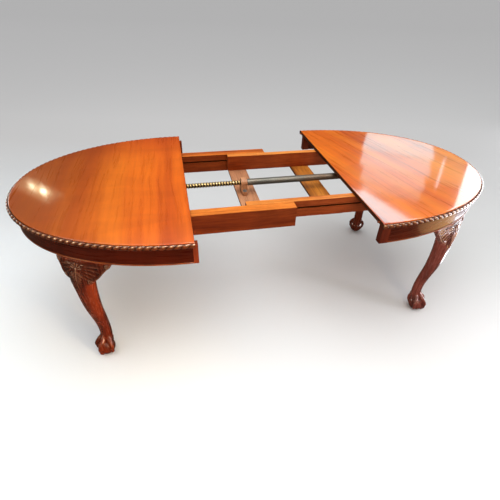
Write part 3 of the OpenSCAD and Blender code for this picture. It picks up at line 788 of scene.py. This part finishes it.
def build_leg_mesh():
    V, F = leg_parts()
    me = bpy.data.meshes.new("leg_raw")
    me.from_pydata([tuple(v) for v in V], [], F)
    ob = bpy.data.objects.new("leg_raw", me)
    bpy.context.scene.collection.objects.link(ob)
    md = ob.modifiers.new("r", "REMESH")
    md.mode, md.voxel_size = "VOXEL", (0.00165)
    md.adaptivity = 0.0
    dg = bpy.context.evaluated_depsgraph_get()
    res = bpy.data.meshes.new_from_object(ob.evaluated_get(dg), depsgraph=dg)
    bpy.data.objects.remove(ob, do_unlink=True)
    n = len(res.vertices)
    co = np.empty(n * 3)
    res.vertices.foreach_get("co", co)
    co = co.reshape(-1, 3)
    ne = len(res.edges)
    ed = np.empty(ne * 2, dtype=np.int64)
    res.edges.foreach_get("vertices", ed)
    ed = ed.reshape(-1, 2)
    faces = np.empty(len(res.loops), dtype=np.int64)
    res.loops.foreach_get("vertex_index", faces)
    sizes = np.empty(len(res.polygons), dtype=np.int64)
    res.polygons.foreach_get("loop_total", sizes)
    bpy.data.meshes.remove(res)
    deg = np.bincount(ed.ravel(), minlength=n).astype(float)

    def lap(v, it, lam, mu):
        for _ in range(it):
            for f in (lam, mu):
                acc = np.zeros_like(v)
                np.add.at(acc, ed[:, 0], v[ed[:, 1]])
                np.add.at(acc, ed[:, 1], v[ed[:, 0]])
                v = v + f * (acc / deg[:, None] - v)
        return v

    co = lap(co, 7, 0.55, -0.50)
    co = lap(co, 2, 0.4, 0.0)

    def normals(c):
        q = faces.reshape(-1, 4) if np.all(sizes == 4) else None
        if q is None:
            nn = np.zeros_like(c)
            st = np.concatenate([[0], np.cumsum(sizes)])[:-1]
            for k in range(len(sizes)):
                f = faces[st[k]:st[k] + sizes[k]]
                g = np.cross(c[f[1]] - c[f[0]], c[f[2]] - c[f[0]])
                nn[f] += g
        else:
            g = np.cross(c[q[:, 2]] - c[q[:, 0]], c[q[:, 3]] - c[q[:, 1]])
            nn = np.zeros_like(c)
            for k in range(4):
                np.add.at(nn, q[:, k], g)
        return nn / np.maximum(np.linalg.norm(nn, axis=1), 1e-12)[:, None]

    nm = normals(co)
    d = co[:, :2] - np.array([FOOT.x, FOOT.y])
    rho, sig, z = d @ N0 * 1000, d @ T0 * 1000, co[:, 2] * 1000
    face = nm[:, :2] @ N0
    # carve the knee's outward faces
    ht = hermite(z, LEG, 3)
    sp = np.where(np.abs(sig) < ht * 0.98, ht * np.arcsin(np.clip(sig / ht, -1, 1)) * 0.82,
                  sig)
    sp = np.where(z > 560, sig, sp * np.clip((560 - z) / 60, 0, 1) + sig * (1 - np.clip((560 - z) / 60, 0, 1)))
    field = edge_of_carving(sp, z) * np.clip((face + 0.10) / 0.3, 0, 1) * np.clip((633.0 - z) / 4, 0, 1)
    hh = carving(sp, z)
    ground = 0.45 * np.sin(sp * 1.7) * np.sin(z * 1.7)
    disp = field * (np.where(hh > 0.3, hh, ground * 0.6) - 1.9) * 0.001
    co2 = co + nm * disp[:, None]
    near = np.clip(lap(hh[:, None], 14, 0.6, 0.0)[:, 0] / 1.3, 0, 1)
    # painted shade on the sunk ground of the carving, deepest next to the raised relief
    cavity_shade = field * np.clip(1 - hh / 3.2, 0, 1) ** 1.3 * (0.30 + 0.62 * near)
    # painted shade in the gaps round the talons
    rb = np.sqrt(rho ** 2 + sig ** 2 + (z - 43) ** 2)
    cavity_shade = np.maximum(cavity_shade, np.clip((46.5 - rb) / 3.0, 0, 1) * (z < 80) * 0.25)
    co2 = lap(co2, 1, 0.15, 0.0)
    co2[:, 2] = np.maximum(co2[:, 2], 0.0003)
    idx = np.split(faces, np.cumsum(sizes)[:-1])
    # painted highlight: a paler colour on the raised carving, stronger towards the top of the knee
    relief_highlight = 0.62 * field * np.clip((hh - 2.6) / 2.0, 0, 1) * np.clip((z - 450) / 100, 0.2, 1)
    return co2, idx, cavity_shade, field, relief_highlight


LEG_CO, LEG_F, LEG_CAVITY_SHADE, LEG_FIELD, LEG_RELIEF_HIGHLIGHT = build_leg_mesh()


# painted sheen: a lighter, cooler copy of the leg polish for the front right leg and its post
M["leg_right"] = wood("leg_polish_right_sheen", (0.36, 0.085, 0.056), (0.23, 0.052, 0.038), (0.10, 0.022, 0.016), rot=(0, R90, 0),
                      rough=0.24, coat=0.75, coat_rough=0.09, figure=0.25, streak=0.40, pore=0.35, bump=0.05,
                      cavity_shade="cavity_shade", cavity_shade_col=(0.014, 0.005, 0.004), band=18, spec=0.34, tint=(1.0, 0.70, 0.55),
                      field=(0.60, 0.62, 0.75), painted_highlight=(0.58, 0.34, 0.25))


def leg(name, sx, sy, body, node, brackets):
    co = LEG_CO * np.array([sx, sy, 1.0])
    fs = LEG_F if sx * sy > 0 else [f[::-1] for f in LEG_F]
    return make(name, co, fs, M["leg_right" if sx > 0 > sy else "leg"], body, angle=180, attrs={"cavity_shade": LEG_CAVITY_SHADE, "field": LEG_FIELD, "painted_highlight": LEG_RELIEF_HIGHLIGHT}, replaces=[node] + brackets)


leg("leg_carved_front_left", -1, -1, "left_half", "leg_front_left", ["left_knee_brackets"])
leg("leg_carved_back_left", -1, 1, "left_half", "leg_back_left", [])
leg("leg_carved_front_right", 1, -1, "right_half", "leg_front_right", ["right_knee_brackets"])
leg("leg_carved_back_right", 1, 1, "right_half", "leg_back_right", [])

# square posts at the top of the legs, behind the apron
for nm, sx, sy, body in (("front_left", -1, -1, "left_half"), ("back_left", -1, 1, "left_half"),
                         ("front_right", 1, -1, "right_half"), ("back_right", 1, 1, "right_half")):
    c = [(-47, -24), (-46, -25), (2, -25), (3, -24), (3, 24), (2, 25), (-46, 25), (-47, 24)]
    r, s_ = np.array([p[0] for p in c], float), np.array([p[1] for p in c], float)
    lo_, hi_ = to_world(r, s_, np.full(8, 600.0)), to_world(r, s_, np.full(8, UZ * 1000 - 0.1))
    V = np.concatenate([lo_, hi_]) * np.array([sx, sy, 1.0])
    F = [(i, (i + 1) % 8, 8 + (i + 1) % 8, 8 + i) for i in range(8)] + [tuple(range(8))[::-1], tuple(range(8, 16))]
    if sx * sy < 0:
        F = [f[::-1] for f in F]
    make("leg_post_" + nm, V, F, M["leg_right" if sx > 0 > sy else "leg"], body, angle=30, attrs={"cavity_shade": np.zeros(16), "field": np.zeros(16), "painted_highlight": np.zeros(16)})

# --------------------------------------------------------------- the screw


def screw_mesh():
    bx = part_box("screw_rod")
    x_tip, x_end = bx[1].x, bx[0].x
    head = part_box("left_head_rail")[1].x
    x0 = head + 0.016
    ra, rb, p = 0.0130, 0.0103, 0.015
    k = 40
    V, F, thread_root_shade = [], [], []
    # threaded length: rings along x, radius set by the helix's phase
    step = p / 20
    xs = np.arange(x0, x_tip - 1e-6, step)
    xs = np.append(xs, x_tip)
    aa = np.linspace(0, 2 * math.pi, k, endpoint=False)
    rings = []
    for x in xs:
        ph = (x / p - aa / (2 * math.pi)) % 1.0
        q = np.clip((np.abs(ph - 0.5) - 0.20) / 0.07, 0, 1)      # 0 on the crest, 1 in the root
        end = np.clip((x_tip - x) / 0.004, 0, 1)
        r = (ra - (ra - rb) * q) * (0.90 + 0.10 * end)
        rings.append((x, r, q))

    def ring(x, r, q):
        r = np.broadcast_to(r, (k,))
        V.append(np.stack([np.full(k, x), r * np.cos(aa), SCZ + r * np.sin(aa)], -1))
        thread_root_shade.append(np.broadcast_to(q, (k,)).astype(float))

    # squared end with broken corners
    sq = 0.008
    m_ = np.maximum(np.abs(np.cos(aa)), np.abs(np.sin(aa)))
    rs = np.minimum(sq / m_, sq * 1.30)
    ring(x_end, rs * 0.86, 0.1)
    ring(x_end + 0.0015, rs, 0.1)
    ring(x_end + 0.0455, rs, 0.2)
    ring(x_end + 0.047, np.full(k, 0.0098), 0.2)
    ring(x_end + 0.0485, np.full(k, 0.0100), 0.1)
    ring(head + 0.0065 - 0.0002, np.full(k, 0.0100), 0.3)
    ring(head + 0.0065, np.full(k, 0.0190), 0.2)
    ring(head + 0.0075, np.full(k, 0.0200), 0.0)
    ring(head + 0.0150, np.full(k, 0.0200), 0.0)
    ring(head + 0.0160, np.full(k, 0.0190), 0.2)
    ring(head + 0.0161, np.full(k, 0.0125), 0.8)
    for x, r, q in rings[1:]:
        ring(x, r, q)
    V = np.concatenate(V)
    m = len(V) // k
    for i in range(m - 1):
        for j in range(k):
            a, b = i * k + j, i * k + (j + 1) % k
            F.append((a, b, b + k, a + k))
    F += [tuple(range(k))[::-1], tuple(range((m - 1) * k, m * k))]
    return V, F, np.concatenate(thread_root_shade)


V, F, thread_root_shade = screw_mesh()
F = [f[::-1] for f in F]
# painted shade: the cavity attribute darkens the thread's roots and the steps by the collar
make("screw_threaded", V, F, M["thread"], "screw", angle=38, attrs={"cavity_shade": thread_root_shade}, replaces=["screw_rod"])

# ------------------------------------------ CAD nodes that keep their shape


def dress(node, mat, bevel=0.0, seg=2, smooth=False):
    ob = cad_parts[node]
    ob = ob if isinstance(ob, bpy.types.Object) else bpy.data.objects[node]
    if not ob.material_slots:
        ob.data.materials.append(mat)
    for sl in ob.material_slots:
        sl.material = mat
    if bevel:
        b = ob.modifiers.new("edges", "BEVEL")
        b.width, b.segments, b.limit_method, b.angle_limit = bevel, seg, "ANGLE", math.radians(40)
        b.use_clamp_overlap = True
        b.harden_normals = False
    return ob


for n in ("outer_rail_front", "outer_rail_back"):
    dress(n, M["rail"], 0.0012)
for n in ("inner_rail_front", "inner_rail_back"):
    dress(n, M["rail_inner"], 0.0012)
for n in ("left_head_rail", "left_cross_tie", "tail_rail"):
    dress(n, M["cross"], 0.0012)
for n in ("left_stub_rails", "right_stub_rails"):
    dress(n, M["cross"], 0.001)
dress("left_apron_end_blocks", M["block"], 0.0014, 3)
dress("right_apron_end_blocks", M["block_right"], 0.0014, 3)
for n in ("left_glue_blocks", "right_glue_blocks", "outer_rail_tongues", "inner_rail_tongues"):
    dress(n, M["tongue"], 0.0008)
dress("cross_board_near", M["pale"], 0.0012)
dress("cross_board_far", M["golden"], 0.0012)
dress("nut_block", M["saddle"], 0.0015)
dress("screw_tube", M["tube"], 0.0006)
for n in ("screw_bearing_plates", "bearing_plate_screws", "left_top_screws", "right_top_screws",
          "cross_board_screws", "nut_bolts", "screw_retaining_collar"):
    dress(n, M["iron"], 0.0003)
dress("winder_ferrule", M["brass"], 0.0005)
dress("leaf_pegs", M["cross"], 0.0005)

# ------------------------------------------------------------------- stage
floor_me = bpy.data.meshes.new("floor")
S = 150.0
floor_me.from_pydata([(-S, -S, 0), (S, -S, 0), (S, S, 0), (-S, S, 0)], [], [(0, 1, 2, 3)])
floor = bpy.data.objects.new("floor", floor_me)
bpy.context.scene.collection.objects.link(floor)
fm = Mat("floor_painted_falloff")
v = fm.coords("Object")
dp = fm.add("ShaderNodeVectorMath", operation="DOT_PRODUCT")
fm.link(v, dp.inputs[0])
dp.inputs[1].default_value = (0.22142, 0.97518, 0.0)      # straight away from the viewer, across the floor
far = fm.span(dp.outputs["Value"], -1.6, 14.4, 0.0, 1.0)
# painted light: the floor falls from pale near the viewer to grey far off, standing in for the fall of the light
col = fm.ramp(far, [(0.0, (0.93,) * 3), (0.046, (0.93,) * 3), (0.06, (0.915,) * 3), (0.073, (0.88,) * 3), (0.087, (0.84,) * 3), (0.102, (0.795,) * 3), (0.119, (0.728,) * 3),
                    (0.139, (0.655,) * 3), (0.165, (0.626,) * 3), (0.195, (0.592,) * 3), (0.24, (0.585,) * 3), (0.29, (0.622,) * 3), (0.44, (0.619,) * 3), (0.74, (0.606,) * 3), (1.0, (0.589,) * 3)])
xs = fm.add("ShaderNodeSeparateXYZ")
fm.link(v, xs.inputs[0])
# painted light: the near floor is lifted and cooled, more on the left, against the table's shadow and the warm fill
painted_fill_tint = fm.mix((0.995, 1.055, 1.085), (0.978, 1.0, 1.005), fm.span(xs.outputs[0], -1.2, 0.6))
col = fm.mix(col, painted_fill_tint, fm.span(far, 0.24, 0.12), "MULTIPLY")
fm.link(col, fm.b.inputs["Base Color"])
fn = fm.noise(v, 90.0, 3.0, 0.5)
fm.link(fm.bump(fn, 0.02, 0.001), fm.b.inputs["Normal"])
fm.put(Roughness=0.85, Specular_IOR_Level=0.15)
floor_me.materials.append(fm.m)
floor.visible_glossy = False       # the polish mirrors a dim room, not the pale studio floor

# pale studio wall, far off: a ring that only closes the view above the floor
wn, wr_, wh = 96, 110.0, 120.0
wa = [2 * math.pi * i / wn for i in range(wn)]
wv = [(wr_ * math.cos(a), wr_ * math.sin(a), z) for z in (-0.02, wh) for a in wa]
wall_me = bpy.data.meshes.new("studio_wall")
wall_me.from_pydata(wv, [], [((i + 1) % wn, i, wn + i, wn + (i + 1) % wn) for i in range(wn)])
for q in wall_me.polygons:
    q.use_smooth = True
wall = bpy.data.objects.new("studio_wall", wall_me)
bpy.context.scene.collection.objects.link(wall)
wm = Mat("wall_paint")
wp = wm.coords("Object")
ws = wm.add("ShaderNodeSeparateXYZ")
wm.link(wp, ws.inputs[0])
wcol = wm.ramp(wm.span(ws.outputs[2], 0.0, 70.0), [(0.0, (0.95,) * 3), (0.35, (0.88,) * 3), (1.0, (0.72,) * 3)])
wm.link(wcol, wm.b.inputs["Base Color"])
wm.link(wm.bump(wm.noise(wp, 0.6, 3.0, 0.5), 0.02, 0.01), wm.b.inputs["Normal"])
wm.put(Roughness=0.9, Specular_IOR_Level=0.1, Emission_Color=(1, 1, 1, 1), Emission_Strength=0.10)
wall_me.materials.append(wm.m)
wall.visible_diffuse = wall.visible_glossy = wall.visible_transmission = wall.visible_shadow = False

world = bpy.data.worlds.new("studio")
bpy.context.scene.world = world
world.use_nodes = True
wt = world.node_tree
bg = wt.nodes["Background"]
wc = wt.nodes.new("ShaderNodeTexCoord")
wx = wt.nodes.new("ShaderNodeSeparateXYZ")
wr = wt.nodes.new("ShaderNodeValToRGB")
wt.links.new(wc.outputs["Generated"], wx.inputs[0])
wt.links.new(wx.outputs["Z"], wr.inputs["Fac"])
wt.links.new(wr.outputs["Color"], bg.inputs["Color"])
el = wr.color_ramp.elements
while len(el) < 5:
    el.new(0.5)
for e, (p, c) in zip(el, [(0.0, (0.10, 0.07, 0.05)), (0.42, (0.11, 0.08, 0.055)), (0.54, (0.15, 0.135, 0.12)), (0.66, (0.95, 0.96, 0.98)), (1.0, (1.32, 1.33, 1.35))]):
    e.position, e.color = p, (*c, 1)
bg.inputs["Strength"].default_value = 1.0


def area(name, loc, target, size, power, colour=(1, 1, 1), shape="RECTANGLE", spread=180.0, gloss=False):
    li = bpy.data.lights.new(name, "AREA")
    li.shape = shape
    li.size, li.size_y = size
    li.energy = power
    li.color = colour
    li.spread = math.radians(spread)
    ob = bpy.data.objects.new(name, li)
    ob.location = loc
    d = Vector(target) - Vector(loc)
    ob.rotation_mode = "QUATERNION"
    ob.rotation_quaternion = d.to_track_quat("-Z", "Y")
    bpy.context.scene.collection.objects.link(ob)
    ob.visible_camera = False
    ob.visible_diffuse = not gloss       # a gloss light only shows in the polish
    return ob


def panel(name, centre, size, ang, radiance, colour=(1, 1, 1), z=3.0):
    """A lit panel that faces straight down; its mirror image lies on the polished tops."""
    ob = area(name, (*centre, z), (*centre, 0), size, radiance * math.pi * size[0] * size[1], colour, gloss=True)
    ob.rotation_mode = "XYZ"
    ob.rotation_euler = (0, 0, math.radians(ang))
    return ob


def glint(name, loc, target, size, radiance, colour=(1, 1, 1)):
    return area(name, loc, target, size, radiance * math.pi * size[0] * size[1], colour, gloss=True)


area("overhead_softbox", (-0.35, -0.2, 3.6), (-0.35, -0.2, 0.0), (4.6, 3.8), 74.0, (1.0, 0.98, 0.95))
area("front_fill", (-2.4, -4.2, 2.6), (-0.1, 0.0, 0.5), (2.2, 1.6), 3.0, (1.0, 0.95, 0.9))
area("warm_fill", (0.6, -3.2, 1.7), (-0.6, -0.3, 0.5), (0.9, 0.9), 20.0, (1.0, 0.78, 0.55))
area("leg_fill", (0.35, -1.75, 0.55), (-0.88, -0.42, 0.33), (0.30, 0.50), 2.3, (1.0, 0.72, 0.45), spread=50.0)
area("leg_fill_right", (2.6, -1.7, 0.60), (0.92, -0.42, 0.36), (0.50, 0.45), 1.6, (0.92, 0.90, 1.0), spread=40.0)
area("side_window", (6.2, -1.75, 2.0), (0.9, -0.3, 0.5), (2.6, 2.3), 21.0, (0.90, 0.95, 1.0))
# gloss lights that give the carving, the edges and the feet their highlights
glint("glint_top", (0.2, -1.4, 3.4), (0.0, -0.3, 0.7), (1.5, 1.0), 26.0, (1.0, 0.97, 0.92))
glint("glint_right", (4.4, 0.3, 0.53), (0.9, -0.1, 0.53), (4.0, 0.92), 14.0, (0.92, 0.95, 1.0))
glint("glint_left", (-3.8, -1.9, 1.3), (-0.9, -0.4, 0.5), (1.0, 1.0), 11.0, (1.0, 0.88, 0.66))
glint("glint_tip", (-3.6, 3.1, 1.05), (-1.2, 0.0, 0.75), (1.6, 0.8), 12.0, (1.0, 0.96, 0.90))
glint("floor_sheen_right", (3.2, -0.4, 0.03), (3.2, -0.4, 1.0), (1.9, 2.0), 1.8, (0.90, 0.94, 1.0))
glint("floor_sheen_foot", (1.72, 0.2, 0.03), (1.72, 0.2, 1.0), (0.8, 1.0), 8.0, (0.92, 0.92, 1.0))
glint("floor_sheen_gold", (1.95, -0.75, 0.03), (1.95, -0.75, 1.0), (0.7, 0.8), 2.4, (1.0, 0.58, 0.24))
# windows that the polished tops mirror
COOL = (0.45, 0.92, 1.0)
panel("window_big_a", (4.62, 5.60), (1.30, 1.50), 58.0, 2.9, COOL)
panel("window_big_b", (4.02, 4.68), (0.80, 1.36), 58.0, 2.25, COOL)
panel("window_big_c", (3.62, 4.05), (0.70, 1.15), 58.0, 1.7, COOL)
panel("window_big_d", (3.35, 3.62), (0.55, 1.00), 58.0, 1.0, COOL)
panel("window_near", (2.75, 2.87), (0.58, 1.44), 15.6, 6.2, (0.42, 0.92, 1.0))
panel("window_tip", (5.13, 3.22), (3.0, 1.0), 47.0, 7.0, (0.94, 0.97, 1.0))
panel("window_slit", (4.67, 4.08), (1.47, 0.034), 50.0, 4.4, (0.9, 0.95, 1.0))
panel("window_haze", (4.95, 4.40), (1.9, 0.80), 50.0, 0.9, (0.9, 1.0, 0.45))
panel("lamp_a", (-2.91, 4.69), (0.15, 0.05), -50.0, 22.0, (1.0, 0.93, 0.66))
panel("lamp_b", (-2.67, 4.46), (0.14, 0.06), -45.0, 40.0, (1.0, 0.95, 0.70))
panel("lamp_glow", (-2.76, 4.54), (0.60, 0.15), -45.0, 5.0, (1.0, 0.90, 0.48))
panel("lamp_halo", (-2.80, 4.56), (1.1, 0.34), -46.0, 1.1, (1.0, 0.86, 0.48))

# ------------------------------------------------------------------ camera
cam_d = bpy.data.cameras.new("camera")
cam_d.sensor_width = 36.0
cam_d.lens = 26.786
cam = bpy.data.objects.new("camera", cam_d)
rt, up, fw = Vector((0.97901739, -0.20209451, 0.02612972)), Vector((0.10131013, 0.59396988, 0.79808273)), Vector((0.17680841, 0.77868966, -0.60198106))
mw = Matrix((( rt.x, up.x, -fw.x, -0.45020636), (rt.y, up.y, -fw.y, -1.76817809), (rt.z, up.z, -fw.z, 1.60336267), (0, 0, 0, 1)))
cam.matrix_world = mw
cam_d.clip_start, cam_d.clip_end = 0.05, 400.0
bpy.context.scene.collection.objects.link(cam)
bpy.context.scene.camera = cam
bpy.context.scene.view_settings.view_transform = "Standard"
